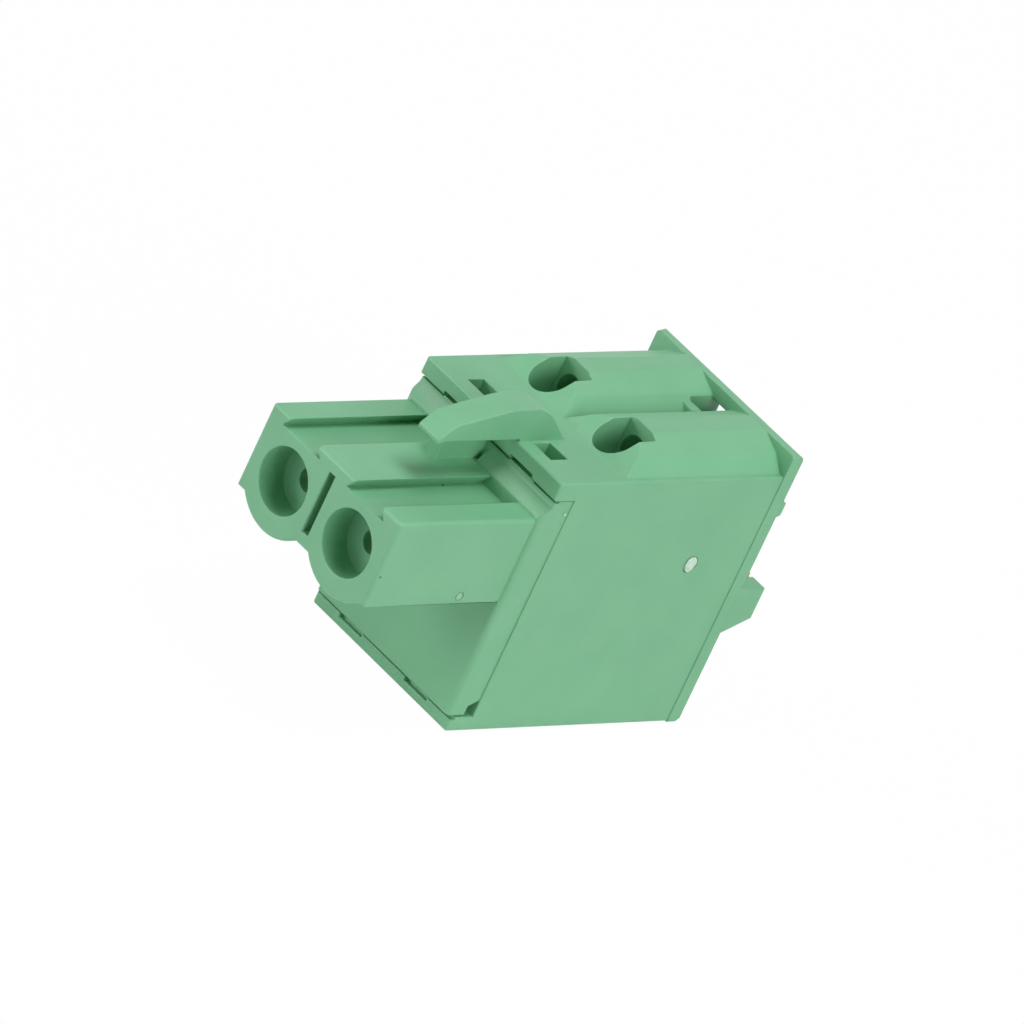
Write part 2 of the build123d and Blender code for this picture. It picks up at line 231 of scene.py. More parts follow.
def mapRange(group, value, low, high, fromLow=0.0, fromHigh=1.0):
    node = group.nodes.new("ShaderNodeMapRange")
    node.inputs["From Min"].default_value = fromLow
    node.inputs["From Max"].default_value = fromHigh
    for socket, end in (("To Min", low), ("To Max", high)):
        if isinstance(end, float):
            node.inputs[socket].default_value = end
        else:
            group.links.new(end, node.inputs[socket])
    group.links.new(value, node.inputs["Value"])
    return node.outputs["Result"]


def makeMouldGroup():
    # cloudy colour, uneven gloss and the fine spark-eroded grain of a moulded face
    group, entry, leave = newGroup(
        "mouldedFace",
        [
            ("Colour", "NodeSocketColor", (0.2, 0.4, 0.2, 1)),
            ("Cloud Colour", "NodeSocketColor", (0.2, 0.4, 0.2, 1)),
            ("Cloud Scale", "NodeSocketFloat", 150.0),
            ("Grain Scale", "NodeSocketFloat", 5000.0),
            ("Roughness Low", "NodeSocketFloat", 0.4),
            ("Roughness High", "NodeSocketFloat", 0.5),
        ],
        [
            ("Colour", "NodeSocketColor"),
            ("Roughness", "NodeSocketFloat"),
            ("Height", "NodeSocketFloat"),
        ],
    )
    place = group.nodes.new("ShaderNodeTexCoord").outputs["Object"]
    cloud = addNoise(group, entry, "Cloud Scale", groupSettings["cloudDetail"], place)
    grain = addNoise(group, entry, "Grain Scale", groupSettings["grainDetail"], place)
    span = groupSettings["noiseSpan"]
    cloudMask = mapRange(group, cloud.outputs["Fac"], 0.0, 1.0, *span)
    plain, cloudy = entry.outputs["Colour"], entry.outputs["Cloud Colour"]
    colour = mixColours(group, cloudMask, plain, cloudy)
    low, high = entry.outputs["Roughness Low"], entry.outputs["Roughness High"]
    rough = mapRange(group, grain.outputs["Fac"], low, high, *span)
    group.links.new(colour, leave.inputs["Colour"])
    group.links.new(rough, leave.inputs["Roughness"])
    group.links.new(grain.outputs["Fac"], leave.inputs["Height"])
    return group


def makeEdgeGroup():
    # rounds the shading of an edge and gives a patchy mask along the edge, where a painted
    # highlight is mixed in
    group, entry, leave = newGroup(
        "paintedEdgeHighlight",
        [
            ("Radius", "NodeSocketFloat", 0.0001),
            ("Highlight Scale", "NodeSocketFloat", 900.0),
            ("Highlight Low", "NodeSocketFloat", 0.05),
            ("Highlight High", "NodeSocketFloat", 0.5),
        ],
        [("Mask", "NodeSocketFloat"), ("Normal", "NodeSocketVector")],
    )
    bevel = group.nodes.new("ShaderNodeBevel")
    bevel.samples = groupSettings["edgeSamples"]
    group.links.new(entry.outputs["Radius"], bevel.inputs["Radius"])
    face = group.nodes.new("ShaderNodeNewGeometry")
    dot = group.nodes.new("ShaderNodeVectorMath")
    dot.operation = "DOT_PRODUCT"
    group.links.new(bevel.outputs["Normal"], dot.inputs[0])
    group.links.new(face.outputs["True Normal"], dot.inputs[1])
    edge = mapRange(group, dot.outputs["Value"], 1.0, 0.0, *groupSettings["edgeSpan"])
    place = group.nodes.new("ShaderNodeTexCoord").outputs["Object"]
    highlightPatches = addNoise(group, entry, "Highlight Scale", groupSettings["highlightDetail"], place)
    low, high = entry.outputs["Highlight Low"], entry.outputs["Highlight High"]
    amount = mapRange(group, highlightPatches.outputs["Fac"], low, high, *groupSettings["highlightSpan"])
    product = group.nodes.new("ShaderNodeMath")
    product.operation = "MULTIPLY"
    product.use_clamp = True
    group.links.new(edge, product.inputs[0])
    group.links.new(amount, product.inputs[1])
    group.links.new(product.outputs[0], leave.inputs["Mask"])
    group.links.new(bevel.outputs["Normal"], leave.inputs["Normal"])
    return group


mouldGroup = makeMouldGroup()
edgeGroup = makeEdgeGroup()


def useGroup(nodes, group, values):
    node = nodes.new("ShaderNodeGroup")
    node.node_tree = group
    for label, value in values.items():
        node.inputs[label].default_value = value
    return node


def startMaterial(name, look):
    # the moulded or rolled face that every material here starts from
    material = bpy.data.materials.new(name)
    material.use_nodes = True
    tree = material.node_tree
    nodes, links = tree.nodes, tree.links
    shader = nodes["Principled BSDF"]
    face = useGroup(
        nodes,
        mouldGroup,
        {
            "Colour": look["colour"],
            "Cloud Colour": look["cloudColour"],
            "Cloud Scale": look["cloudScale"],
            "Grain Scale": look["grainScale"],
            "Roughness Low": look["roughnessLow"],
            "Roughness High": look["roughnessHigh"],
        },
    )
    bump = nodes.new("ShaderNodeBump")
    bump.inputs["Strength"].default_value = look["bumpStrength"]
    bump.inputs["Distance"].default_value = look["bumpDepth"]
    links.new(face.outputs["Height"], bump.inputs["Height"])
    links.new(face.outputs["Roughness"], shader.inputs["Roughness"])
    links.new(bump.outputs["Normal"], shader.inputs["Normal"])
    return material, shader, face, bump


def mouldedPlastic(name, look):
    material, shader, face, bump = startMaterial(name, look)
    nodes, links = material.node_tree.nodes, material.node_tree.links
    edge = useGroup(
        nodes, edgeGroup, {"Radius": look["edgeRadius"], "Highlight High": look["edgeHighlightAmount"]}
    )
    # the edges get a painted highlight: a lighter colour mixed in by the edge mask
    mix = nodes.new("ShaderNodeMix")
    mix.data_type = "RGBA"
    mix.inputs[7].default_value = look["edgeHighlightColour"]
    links.new(edge.outputs["Mask"], mix.inputs["Factor"])
    links.new(face.outputs["Colour"], mix.inputs[6])
    links.new(mix.outputs[2], shader.inputs["Base Color"])
    links.new(edge.outputs["Normal"], bump.inputs["Normal"])
    shader.inputs["IOR"].default_value = look["ior"]
    return material


def metal(name, look):
    material, shader, face = startMaterial(name, look)[:3]
    material.node_tree.links.new(face.outputs["Colour"], shader.inputs["Base Color"])
    shader.inputs["Metallic"].default_value = 1.0
    return material


# every plastic look holds a painted edge highlight: its lighter colour and how strongly it shows
greenLook = {
    "colour": (0.155, 0.420, 0.230, 1),
    "cloudColour": (0.172, 0.445, 0.248, 1),
    "cloudScale": 260.0,
    "grainScale": 7000.0,
    "roughnessLow": 0.40,
    "roughnessHigh": 0.50,
    "edgeRadius": 0.00012,
    "edgeHighlightAmount": 0.5,
    "edgeHighlightColour": (0.27, 0.56, 0.36, 1),
    "bumpStrength": 0.25,
    "bumpDepth": 0.00002,
    "ior": 1.5,
}

# where the sprue was broken off the plastic is stressed and pale
stubLook = {
    "colour": (0.42, 0.64, 0.50, 1),
    "cloudColour": (0.60, 0.74, 0.64, 1),
    "cloudScale": 2500.0,
    "grainScale": 9000.0,
    "roughnessLow": 0.5,
    "roughnessHigh": 0.7,
    "edgeRadius": 0.00004,
    "edgeHighlightAmount": 0.5,
    "edgeHighlightColour": (0.62, 0.76, 0.66, 1),
    "bumpStrength": 0.6,
    "bumpDepth": 0.00004,
    "ior": 1.5,
}

# a gate that was trimmed flush is only a little paler
nubLook = {
    "colour": (0.26, 0.51, 0.34, 1),
    "cloudColour": (0.22, 0.48, 0.30, 1),
    "cloudScale": 1500.0,
    "grainScale": 9000.0,
    "roughnessLow": 0.42,
    "roughnessHigh": 0.6,
    "edgeRadius": 0.00003,
    "edgeHighlightAmount": 0.4,
    "edgeHighlightColour": (0.40, 0.62, 0.47, 1),
    "bumpStrength": 0.5,
    "bumpDepth": 0.00002,
    "ior": 1.5,
}

# specks of burnt plastic moulded into the surface
speckLook = {
    "colour": (0.035, 0.09, 0.045, 1),
    "cloudColour": (0.05, 0.11, 0.06, 1),
    "cloudScale": 3000.0,
    "grainScale": 9000.0,
    "roughnessLow": 0.5,
    "roughnessHigh": 0.7,
    "edgeRadius": 0.00001,
    "edgeHighlightAmount": 0.2,
    "edgeHighlightColour": (0.08, 0.16, 0.09, 1),
    "bumpStrength": 0.3,
    "bumpDepth": 0.00001,
    "ior": 1.5,
}

orangeLook = {
    "colour": (0.82, 0.22, 0.03, 1),
    "cloudColour": (0.88, 0.27, 0.05, 1),
    "cloudScale": 300.0,
    "grainScale": 7000.0,
    "roughnessLow": 0.36,
    "roughnessHigh": 0.46,
    "edgeRadius": 0.0001,
    "edgeHighlightAmount": 0.4,
    "edgeHighlightColour": (0.95, 0.42, 0.15, 1),
    "bumpStrength": 0.2,
    "bumpDepth": 0.00002,
    "ior": 1.5,
}

tinLook = {
    "colour": (0.62, 0.60, 0.56, 1),
    "cloudColour": (0.52, 0.50, 0.46, 1),
    "cloudScale": 900.0,
    "grainScale": 9000.0,
    "roughnessLow": 0.28,
    "roughnessHigh": 0.42,
    "bumpStrength": 0.3,
    "bumpDepth": 0.00001,
}

steelLook = {
    "colour": (0.56, 0.56, 0.57, 1),
    "cloudColour": (0.48, 0.48, 0.5, 1),
    "cloudScale": 700.0,
    "grainScale": 12000.0,
    "roughnessLow": 0.2,
    "roughnessHigh": 0.32,
    "bumpStrength": 0.2,
    "bumpDepth": 0.00001,
}

greenPlastic = mouldedPlastic("greenPlastic", greenLook)
orangePlastic = mouldedPlastic("orangePlastic", orangeLook)
tornPlastic = mouldedPlastic("tornPlastic", stubLook)
burntSpeck = mouldedPlastic("burntSpeck", speckLook)
rubbedPlastic = mouldedPlastic("rubbedPlastic", nubLook)
tinnedMetal = metal("tinnedMetal", tinLook)
springSteel = metal("springSteel", steelLook)
print("materials made")

nodeMaterials = {
    "socket_contact": tinnedMetal,
    "over_spring": springSteel,
    "current_bar": tinnedMetal,
    "clamp_spring": springSteel,
    "release_button": orangePlastic,
}

# moulded pieces that replace their CAD node with a copy whose sharp edges are broken
mouldedPieces = {
    "main_housing": {
        "name": "rearShell",
        "edge": 0.09 * mm,
        "segments": 2,
        "body": "plug",
        "slot": "green_plastic",
        "material": greenPlastic,
    },
    "front_housing": {
        "name": "frontShell",
        "edge": 0.09 * mm,
        "segments": 2,
        "body": "plug",
        "slot": "green_plastic",
        "material": greenPlastic,
    },
    "release_button_1": {
        "name": "leftButton",
        "edge": 0.08 * mm,
        "segments": 2,
        "body": "button_1",
        "slot": "orange_plastic",
        "material": orangePlastic,
    },
    "release_button_2": {
        "name": "rightButton",
        "edge": 0.08 * mm,
        "segments": 2,
        "body": "button_2",
        "slot": "orange_plastic",
        "material": orangePlastic,
    },
}


# tolerances in millimetres: for welds and cuts, and for places that count as the same
hair = 0.001
near = 0.01

# how moulded pieces are cleaned and their edges broken; angles are in degrees
breakSettings = {
    "weld": 0.004,  # millimetres
    "flat": 0.6,  # faces that bend less are joined
    "sharp": 25,  # edges that bend less are left
    "acute": 28,  # narrower corners keep their shape
    "room": 2.1,  # shortest edge beside a bevel, in bevel widths
    "smooth": 40,
    "weight": 100,
}


# operators that shape the pieces below; places and sizes are in millimetres here
def newCube(name, x, y, z):
    bpy.ops.object.select_all(action="DESELECT")
    bpy.ops.mesh.primitive_cube_add(size=1.0)
    piece = bpy.context.object
    piece.name = name
    piece.scale = [(high - low) * mm for low, high in (x, y, z)]
    piece.location = [(high + low) / 2 * mm for low, high in (x, y, z)]
    bpy.ops.object.transform_apply(location=True, rotation=True, scale=True)
    return piece


def newRod(name, place, out, radius, length, sides=48):
    bpy.ops.object.select_all(action="DESELECT")
    turn = Vector(out).to_track_quat("Z", "Y").to_euler()
    bpy.ops.mesh.primitive_cylinder_add(
        vertices=sides, radius=radius * mm, depth=length * mm, rotation=turn
    )
    piece = bpy.context.object
    piece.name = name
    piece.location = [value * mm for value in place]
    bpy.ops.object.transform_apply(location=True, rotation=True, scale=True)
    return piece


def slicePiece(piece, place, normal):
    # the part in front of the plane is cut off and the cut is closed
    selectOnly(piece)
    bpy.ops.object.mode_set(mode="EDIT")
    bpy.ops.mesh.select_all(action="SELECT")
    bpy.ops.mesh.bisect(
        plane_co=[value * mm for value in place],
        plane_no=Vector(normal).normalized(),
        use_fill=True,
        clear_outer=True,
        threshold=hair * mm,
    )
    bpy.ops.object.mode_set(mode="OBJECT")


def roundEdges(piece, offset, segments, wanted):
    # wanted says from an edge's two ends whether it is rounded
    selectOnly(piece)
    bpy.ops.object.mode_set(mode="EDIT")
    bpy.ops.mesh.select_mode(type="EDGE")
    bpy.ops.mesh.select_all(action="DESELECT")
    work = bmesh.from_edit_mesh(piece.data)
    for edge in work.edges:
        first, second = (vert.co / mm for vert in edge.verts)
        edge.select_set(wanted(first, second))
    bmesh.update_edit_mesh(piece.data)
    bpy.ops.mesh.bevel(offset=offset * mm, segments=segments, affect="EDGES")
    bpy.ops.object.mode_set(mode="OBJECT")


def hasRoom(vert, offset):
    # no short edge and no acute corner meets here, so a bevel of offset metres can end cleanly
    acute = math.radians(breakSettings["acute"])
    ways = [edge.other_vert(vert).co - vert.co for edge in vert.link_edges]
    if any(way.length < breakSettings["room"] * offset for way in ways):
        return False
    for index, way in enumerate(ways):
        for other in ways[index + 1 :]:
            if way.angle(other) < acute:
                return False
    return True


def isBeyond(place, limits):
    rear, half = limits
    return place.y > rear and abs(place.x) > half


def breakEdges(piece, offset, segments, keep):
    # outward edges get a bevel of offset metres, except beyond keep and at corners without room
    sharp = math.radians(breakSettings["sharp"])
    selectOnly(piece)
    bpy.ops.object.mode_set(mode="EDIT")
    bpy.ops.mesh.select_mode(type="EDGE")
    bpy.ops.mesh.select_all(action="DESELECT")
    work = bmesh.from_edit_mesh(piece.data)
    roomy = {vert.index for vert in work.verts if hasRoom(vert, offset)}
    count = 0
    for edge in work.edges:
        if not edge.is_convex or edge.calc_face_angle() < sharp:
            continue
        if keep and all(isBeyond(vert.co / mm, keep) for vert in edge.verts):
            continue
        if all(vert.index in roomy for vert in edge.verts):
            edge.select_set(True)
            count += 1
    bmesh.update_edit_mesh(piece.data)
    bpy.ops.mesh.bevel(offset=offset, segments=segments, affect="EDGES", clamp_overlap=False)
    bpy.ops.object.mode_set(mode="OBJECT")
    print(piece.name, "edges broken", count)


def applyTool(piece, tool, operation):
    selectOnly(piece)
    change = piece.modifiers.new(tool.name, "BOOLEAN")
    change.operation = operation
    change.solver = "EXACT"
    change.object = tool
    bpy.ops.object.modifier_apply(modifier=change.name)
    bpy.data.objects.remove(tool, do_unlink=True)


def addTo(piece, tool):
    applyTool(piece, tool, "UNION")


def cutFrom(piece, tool):
    applyTool(piece, tool, "DIFFERENCE")


# the deck side of the rear housing, in millimetres; each rounding is a width and its segments
deckSettings = {
    "poles": (-3.81, 3.81),
    "deck": 21.25,
    "halfWidth": 8.115,
    "above": 26.0,
    "beside": 9,
    "ahead": -21,
    "behind": 13,
    "holeFillHalf": 2.2,
    "holeFillY": (-5.2, 1.0),
    "holeFillFloor": 17.7,
    "slotFillHalf": 1.3,
    "slotFillFront": 8.2,
    "slotFillFloor": 20.2,
    "clawCutX": (-1, 4),
    "clawCutRear": -11.72,
    "clawCutFloor": 19.5,
    "rimCutReach": 1,
    "ridgeTop": 23.12,
    "ridgeFlat": 0.84,
    "ridgeKnee": (2.68, 22.31),
    "ridgeFoot": 3.74,
    "ridgeRoot": 0.35,
    "ridgeReach": 0.06,
    "ridgeLong": 3,
    "ridgeBand": 0.1,
    "ridgeRound": (0.1, 2),
    "rampFront": -4.9,
    "rampDegrees": 33.8,
    "rimFront": 10.6,
    "rimRear": 11.7,
    "rimCut": 21.6,
    "rimTop": 23.05,
    "rimRound": (0.45, 5),
    "rimCorner": (0.3, 3),
    "bridgeGap": 0.5,
    "bridgeUnder": 21.97,
    "slotHalf": 0.95,
    "slotFloor": 20.4,
    "wallHalf": 1.4,
    "wallY": (7.4, 8.3),
    "wallRoot": 0.3,
    "wallTop": 21.92,
    "pocketHalf": 1.5,
    "pocketY": (-4.8, -0.9),
    "pocketFloor": 18.9,
    "pocketAbove": 1,
    "throatZ": 20.7,
    "throatRadius": 1.25,
    "throatDepth": 1.6,
    "probeRadius": 1.0,
    "probeDepth": 2.0,
    "probeDegrees": 25.0,
    "seamY": (-12.0, -11.3),
    "seamZ": (0.96, 1.3),
    "gates": (-3.93, 3.93),
    "gateHalf": 1.3,
    "gateZ": (0.66, 1.25),
}

clawSettings = {
    "x": (0.35, 2.7),
    "under": 21.42,
    "rootY": -11.5,
    "tip": (-19.6, 21.5),
    "toothUnder": 21.1,
    "toothRear": -19.0,
    "brow": (-18.5, 22.68),
    "top": (-13.2, 23.96),
    "back": (-9.9, 23.96),
    "end": (-7.1, 21.25),
    "rootDepth": 0.3,
    "wide": 1,
    "backRound": (1.2, 6),
    "topRound": (0.7, 5),
    "browRound": (0.5, 4),
}


def ridgePiece(x):
    values = deckSettings
    deck, top = values["deck"], values["ridgeTop"]
    flat, foot, least = values["ridgeFlat"], values["ridgeFoot"], values["ridgeLong"]
    knee, kneeZ = values["ridgeKnee"]
    low = kneeZ - values["ridgeBand"]
    span = (values["rampFront"], values["rimFront"] + values["ridgeReach"])
    piece = newCube("ridge", (x - foot, x + foot), span, (deck - values["ridgeRoot"], top))
    for side in (-1, 1):
        slicePiece(piece, (x + side * flat, 0, top), (side * (top - kneeZ), 0, knee - flat))
        slicePiece(piece, (x + side * foot, 0, deck), (side * (kneeZ - deck), 0, foot - knee))
    slope = math.tan(math.radians(values["rampDegrees"]))
    slicePiece(piece, (0, values["rampFront"], deck), (0, -slope, 1))
    roundEdges(
        piece,
        *values["ridgeRound"],
        lambda a, b: abs(a.y - b.y) > least and min(a.z, b.z) > low,
    )
    return piece


def rimPiece():
    values = deckSettings
    half, rear, top = values["halfWidth"], values["rimRear"], values["rimTop"]
    piece = newCube("rim", (-half, half), (values["rimFront"], rear), (values["rimCut"], top))
    roundEdges(
        piece,
        *values["rimRound"],
        lambda a, b: min(a.z, b.z) > top - near and min(a.y, b.y) > rear - near,
    )
    roundEdges(
        piece,
        *values["rimCorner"],
        lambda a, b: abs(a.x - b.x) < near
        and abs(a.x) > half - near
        and min(a.z, b.z) > top - near,
    )
    return piece


def clawPiece():
    values = clawSettings
    x, under, wide = values["x"], values["under"], values["wide"]
    (tipY, tipZ), (browY, browZ) = values["tip"], values["brow"]
    (topY, topZ), (backY, backZ), (endY, endZ) = values["top"], values["back"], values["end"]
    piece = newCube("claw", x, (tipY, endY), (under, topZ))
    slicePiece(piece, (0, tipY, tipZ), (0, tipZ - browZ, browY - tipY))
    slicePiece(piece, (0, browY, browZ), (0, browZ - topZ, topY - browY))
    slicePiece(piece, (0, backY, backZ), (0, backZ - endZ, endY - backY))

    def acrossAt(y, z):
        return (
            lambda a, b: abs(a.x - b.x) > wide
            and abs(a.y - y) < 2 * near
            and abs(a.z - z) < 2 * near
        )

    roundEdges(piece, *values["backRound"], acrossAt(backY, backZ))
    roundEdges(piece, *values["topRound"], acrossAt(topY, topZ))
    roundEdges(piece, *values["browRound"], acrossAt(browY, browZ))
    # the tooth hangs under the tip, and the root runs down into the deck
    tooth = newCube("clawTooth", x, (tipY, values["toothRear"]), (values["toothUnder"], under))
    drop = under - values["toothUnder"]
    slicePiece(tooth, (0, tipY, values["toothUnder"]), (0, drop, tipY - values["toothRear"]))
    addTo(piece, tooth)
    root = (endZ - values["rootDepth"], under)
    addTo(piece, newCube("clawRoot", x, (values["rootY"], endY), root))
    return piece


def reshapeDeck(shell):
    values = deckSettings
    deck, above, ahead, behind = (values[key] for key in ("deck", "above", "ahead", "behind"))
    rimCut, rimFront, rimRear = (values[key] for key in ("rimCut", "rimFront", "rimRear"))
    across = (-values["beside"], values["beside"])
    # the CAD model's simple test holes and slot are filled
    fill = values["holeFillHalf"]
    fillZ = (values["holeFillFloor"], rimCut)
    for x in values["poles"]:
        addTo(shell, newCube("holeFill", (x - fill, x + fill), values["holeFillY"], fillZ))
    fill = values["slotFillHalf"]
    fillZ = (values["slotFillFloor"], rimCut)
    addTo(shell, newCube("slotFill", (-fill, fill), (values["slotFillFront"], rimRear), fillZ))
    # its ridges, claw and rim are cut away, and the finer forms take their place
    cutFrom(shell, newCube("deckCut", across, (ahead, rimFront), (deck, above)))
    clawZ = (values["clawCutFloor"], deck)
    cutFrom(shell, newCube("clawCut", values["clawCutX"], (ahead, values["clawCutRear"]), clawZ))
    rimY = (rimFront - values["rimCutReach"], behind)
    cutFrom(shell, newCube("rimCut", across, rimY, (rimCut, above)))
    addTo(shell, rimPiece())
    for x in values["poles"]:
        addTo(shell, ridgePiece(x))
    wallX = (-values["wallHalf"], values["wallHalf"])
    wallZ = (deck - values["wallRoot"], values["wallTop"])
    addTo(shell, newCube("crossWall", wallX, values["wallY"], wallZ))
    addTo(shell, clawPiece())
    slotX = (-values["slotHalf"], values["slotHalf"])
    slotFront = values["wallY"][1]
    cutFrom(shell, newCube("slot", slotX, (slotFront, rimFront), (values["slotFloor"], above)))
    under = (values["slotFloor"], values["bridgeUnder"])
    cutFrom(shell, newCube("underBridge", slotX, (slotFront + values["bridgeGap"], behind), under))
    for x in values["poles"]:
        cutPocket(shell, x)
    # a shadow gap under the front housing, deeper at the two gates
    seam = values["seamY"]
    cutFrom(shell, newCube("lowSeam", across, seam, values["seamZ"]))
    for x in values["gates"]:
        gate = values["gateHalf"]
        cutFrom(shell, newCube("gate", (x - gate, x + gate), seam, values["gateZ"]))


def cutPocket(shell, x):
    values = deckSettings
    half, floor = values["pocketHalf"], values["pocketFloor"]
    front, rear = values["pocketY"]
    middle = front + half
    height = values["ridgeTop"] + values["pocketAbove"] - floor
    place = (x, middle, floor + height / 2)
    cutFrom(shell, newRod("pocketFront", place, (0, 0, 1), half, height))
    span = (floor, floor + height)
    cutFrom(shell, newCube("pocketRear", (x - half, x + half), (middle, rear), span))
    tilt = math.radians(values["probeDegrees"])
    into = Vector((0, math.cos(tilt), -math.sin(tilt)))
    mouth = Vector((x, rear, values["throatZ"]))
    for name, radius, start, end in (
        ("throat", values["throatRadius"], -half, values["throatDepth"]),
        ("probe", values["probeRadius"], 0.0, values["throatDepth"] + values["probeDepth"]),
    ):
        place = mouth + into * (start + end) / 2
        cutFrom(shell, newRod(name, place, into, radius, end - start))


# the flange, rib and lobes of the front housing, in millimetres
noseSettings = {
    "poles": (-3.81, 3.81),
    "noseTop": 17.94,
    "flangeRear": -9.72,
    "gapClosed": 0.13,
    "band": (-11.42, 19.1),
    "slopeX": (-9, 9),
    "slopeReach": 1.6,
    "slopeFoot": (-12.17, 18.15),
    "slopeClear": 0.05,
    "slopeTop": 20.5,
    "ribX": (-1.305, -0.055),
    "ribY": (-15.9, -11.82),
    "ribZ": (17.7, 20.6),
    "ribTall": 1,
    "ribRound": (0.3, 4),
    "ribFootTop": 19.6,
    "ribFootReach": 0.3,
    "notchX": (-1.565, 0.42),
    "notchClear": 0.01,
    "topSeam": (19.55, 20.0),
    "topSeamX": ((-9, -5.35), (-2.5, 2.5), (5.35, 9)),
    "topSeamInto": (-0.2, 0.4),
    "noseHalf": 7.6,
    "noseSlack": 0.05,
    "underOld": 10.87,
    "underNew": 10.9,
    "underLong": 0.5,
    "underRound": (0.4, 3),
    "lobeY": (-25.4, -12.0),
    "lobeZ": 13.72,
    "lobeShift": 0.1,
    "lobeRadius": 4.15,
    "lobeSides": 96,
    "lobeTop": 11.2,
    "lobeRound": (0.25, 3),
}


def ribPiece():
    values = noseSettings
    front, tall = values["ribY"][0], values["ribTall"]
    piece = newCube("rib", values["ribX"], values["ribY"], values["ribZ"])
    roundEdges(
        piece,
        *values["ribRound"],
        lambda a, b: abs(a.z - b.z) > tall and max(a.y, b.y) < front + near,
    )
    foot = (values["ribY"][1], values["band"][0] + values["ribFootReach"])
    low, top = values["ribZ"][0], values["ribFootTop"]
    addTo(piece, newCube("ribFoot", values["ribX"], foot, (low, top)))
    return piece


def reshapeNose(shell):
    values = noseSettings
    bandY, bandZ = values["band"]
    footY, footZ = values["slopeFoot"]
    slopeY = (bandY - values["slopeReach"], bandY)
    slopeZ = (values["noseTop"] + values["slopeClear"], values["slopeTop"])
    slope = newCube("flangeSlope", values["slopeX"], slopeY, slopeZ)
    slicePiece(slope, (0, bandY, bandZ), (0, bandZ - footZ, footY - bandY))
    cutFrom(shell, slope)
    notchZ = (values["noseTop"] + values["notchClear"], values["slopeTop"])
    cutFrom(shell, newCube("ribNotch", values["notchX"], slopeY, notchZ))
    addTo(shell, ribPiece())
    seamY = [bandY + step for step in values["topSeamInto"]]
    for x in values["topSeamX"]:
        cutFrom(shell, newCube("topSeam", x, seamY, values["topSeam"]))
    # the lobes under the sockets are a little fuller than in the CAD model
    for x in values["poles"]:
        addTo(shell, lobePiece(x))
    # the flange closes up against the rear housing, so only a fine line shows, and the
    # nose's underside is a little higher than in the CAD model
    rear, under, lower = values["flangeRear"], values["underOld"], values["underNew"]
    for vert in shell.data.vertices:
        if abs(vert.co.y / mm - rear) < hair:
            vert.co.y += values["gapClosed"] * mm
        if abs(vert.co.z / mm - under) < hair:
            vert.co.z = lower * mm
    half, least = values["noseHalf"] - values["noseSlack"], values["underLong"]
    roundEdges(
        shell,
        *values["underRound"],
        lambda a, b: abs(a.y - b.y) > least
        and min(abs(a.x), abs(b.x)) > half
        and max(abs(a.z - lower), abs(b.z - lower)) < near,
    )


def lobePiece(x):
    values = noseSettings
    front, rear = values["lobeY"]
    radius, top = values["lobeRadius"], values["lobeTop"]
    place = (x + values["lobeShift"], (front + rear) / 2, values["lobeZ"])
    piece = newRod("lobe", place, (0, -1, 0), radius, rear - front, values["lobeSides"])
    slicePiece(piece, (0, 0, top), (0, 0, 1))
    roundEdges(
        piece,
        *values["lobeRound"],
        lambda a, b: max(a.y, b.y) < front + near and min(a.z, b.z) < top - near,
    )
    return piece


reshaping = {"main_housing": reshapeDeck, "front_housing": reshapeNose}
# edges behind this y and outside this half width stay sharp, in millimetres: the closed side
# seam, which would open into a groove, and the rear corners, where the rim stands out by less
# than a bevel's width
sharpBeyond = {"front_housing": (-9.75, 7.8), "main_housing": (11.6, 7.9)}


def mergedCopy(node, settings):
    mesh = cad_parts[node].data.copy()
    mesh.name = settings["name"]
    mesh.materials.clear()
    body = bmesh.new()
    body.from_mesh(mesh)
    bmesh.ops.remove_doubles(body, verts=body.verts, dist=hair * mm)
    body.to_mesh(mesh)
    body.free()
    piece = linkObject(bpy.data.objects.new(settings["name"], mesh))
    selectOnly(piece)
    if mesh.has_custom_normals:
        bpy.ops.mesh.customdata_custom_splitnormals_clear()
    return piece


def mouldedPiece(node, settings):
    piece = mergedCopy(node, settings)
    if node in reshaping:
        reshaping[node](piece)
    mesh = piece.data
    body = bmesh.new()
    body.from_mesh(mesh)
    weld = breakSettings["weld"] * mm
    flat = math.radians(breakSettings["flat"])
    bmesh.ops.remove_doubles(body, verts=body.verts, dist=weld)
    bmesh.ops.dissolve_degenerate(body, edges=body.edges, dist=weld)
    bmesh.ops.dissolve_limit(body, angle_limit=flat, verts=body.verts, edges=body.edges)
    body.to_mesh(mesh)
    body.free()
    mesh.materials.clear()
    mesh.materials.append(settings["material"])
    for face in mesh.polygons:
        face.material_index = 0
    breakEdges(piece, settings["edge"], settings["segments"], sharpBeyond.get(node))
    bpy.ops.object.shade_smooth_by_angle(angle=math.radians(breakSettings["smooth"]))
    # large faces keep their own direction, so only the broken edges look round
    weights = piece.modifiers.new("flatFaces", "WEIGHTED_NORMAL")
    weights.keep_sharp = True
    weights.weight = breakSettings["weight"]
    bpy.ops.object.modifier_apply(modifier=weights.name)
    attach(piece, settings["body"])
    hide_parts(node)
    print(settings["name"], "faces", len(piece.data.polygons))


# the form that all marks share: a disc drawn in and lifted by shares of its radius and height
markShape = {"sides": 20, "inset": 0.3, "lift": 0.4, "smooth": 50}

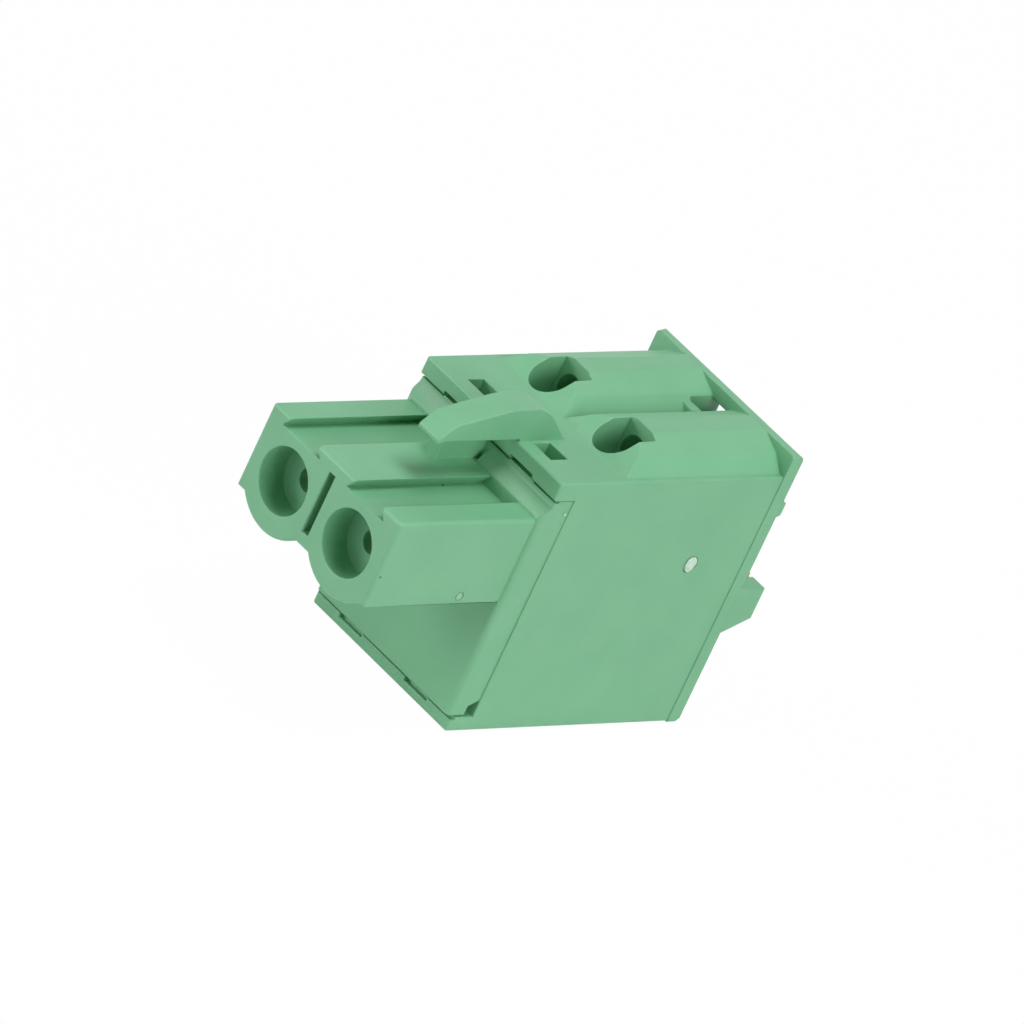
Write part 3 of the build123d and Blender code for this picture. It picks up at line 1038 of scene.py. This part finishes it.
# marks that moulding left: a torn sprue stub, a trimmed gate and a few specks
markPieces = {
    "sprueStub": {
        "place": (7.93 * mm, 5.36 * mm, 13.85 * mm),
        "out": (1, 0, 0),
        "radii": (0.52 * mm, 0.66 * mm),
        "height": 0.14 * mm,
        "tear": 0.045 * mm,
        "material": tornPlastic,
    },
    "noseStub": {
        "place": (7.555 * mm, -16.2 * mm, 11.5 * mm),
        "out": (1, 0, 0),
        "radii": (0.28 * mm, 0.28 * mm),
        "height": 0.05 * mm,
        "tear": 0.02 * mm,
        "material": rubbedPlastic,
    },
    "partingSpeck": {
        "place": (8.015 * mm, -9.98 * mm, 18.6 * mm),
        "out": (1, 0, 0),
        "radii": (0.11 * mm, 0.11 * mm),
        "height": 0.05 * mm,
        "tear": 0.01 * mm,
        "material": tornPlastic,
    },
    "grooveSpeck": {
        "place": (1.86 * mm, -16.09 * mm, 17.05 * mm),
        "out": (0, 0, 1),
        "radii": (0.13 * mm, 0.11 * mm),
        "height": 0.03 * mm,
        "tear": 0.01 * mm,
        "material": burntSpeck,
    },
    "noseSpeck": {
        "place": (7.59 * mm, -25.05 * mm, 13.45 * mm),
        "out": (1, 0, 0),
        "radii": (0.09 * mm, 0.10 * mm),
        "height": 0.03 * mm,
        "tear": 0.01 * mm,
        "material": burntSpeck,
    },
}


def markPiece(name, settings, seed):
    # a low blob: the disc's top is drawn in and lifted twice, then torn a little
    bpy.ops.object.select_all(action="DESELECT")
    turn = Vector(settings["out"]).to_track_quat("Z", "Y").to_euler()
    bpy.ops.mesh.primitive_cylinder_add(
        vertices=markShape["sides"],
        radius=1.0,
        depth=settings["height"],
        end_fill_type="NGON",
        location=settings["place"],
        rotation=turn,
    )
    piece = bpy.context.object
    piece.name = name
    piece.scale = (settings["radii"][0], settings["radii"][1], 1.0)
    bpy.ops.object.transform_apply(location=False, rotation=False, scale=True)
    bpy.ops.object.mode_set(mode="EDIT")
    work = bmesh.from_edit_mesh(piece.data)
    top = max(work.faces, key=lambda face: face.calc_center_median().z)
    bpy.ops.mesh.select_all(action="DESELECT")
    top.select = True
    bmesh.update_edit_mesh(piece.data)
    inset = markShape["inset"] * min(settings["radii"])
    lift = markShape["lift"] * settings["height"]
    for step in range(2):
        bpy.ops.mesh.inset(thickness=inset, depth=lift)
    bpy.ops.mesh.select_all(action="SELECT")
    bpy.ops.transform.vertex_random(offset=settings["tear"], seed=seed)
    bpy.ops.mesh.normals_make_consistent(inside=False)
    bpy.ops.object.mode_set(mode="OBJECT")
    bpy.ops.object.transform_apply(location=True, rotation=True, scale=True)
    bpy.ops.object.shade_smooth_by_angle(angle=math.radians(markShape["smooth"]))
    piece.data.materials.append(settings["material"])
    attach(piece, "plug")


makeCamera()
makeWorld()
makeFloor()
makeLamps()
for node, settings in mouldedPieces.items():
    mouldedPiece(node, settings)
print("moulded pieces made")
for seed, (name, settings) in enumerate(markPieces.items()):
    markPiece(name, settings, seed)
print("marks made")
for node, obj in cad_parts.items():
    family = node.rsplit("_", 1)[0]
    if family in nodeMaterials:
        obj.data.materials.clear()
        obj.data.materials.append(nodeMaterials[family])
print("inner pieces dressed")

view = bpy.context.scene.view_settings
view.view_transform = "Standard"
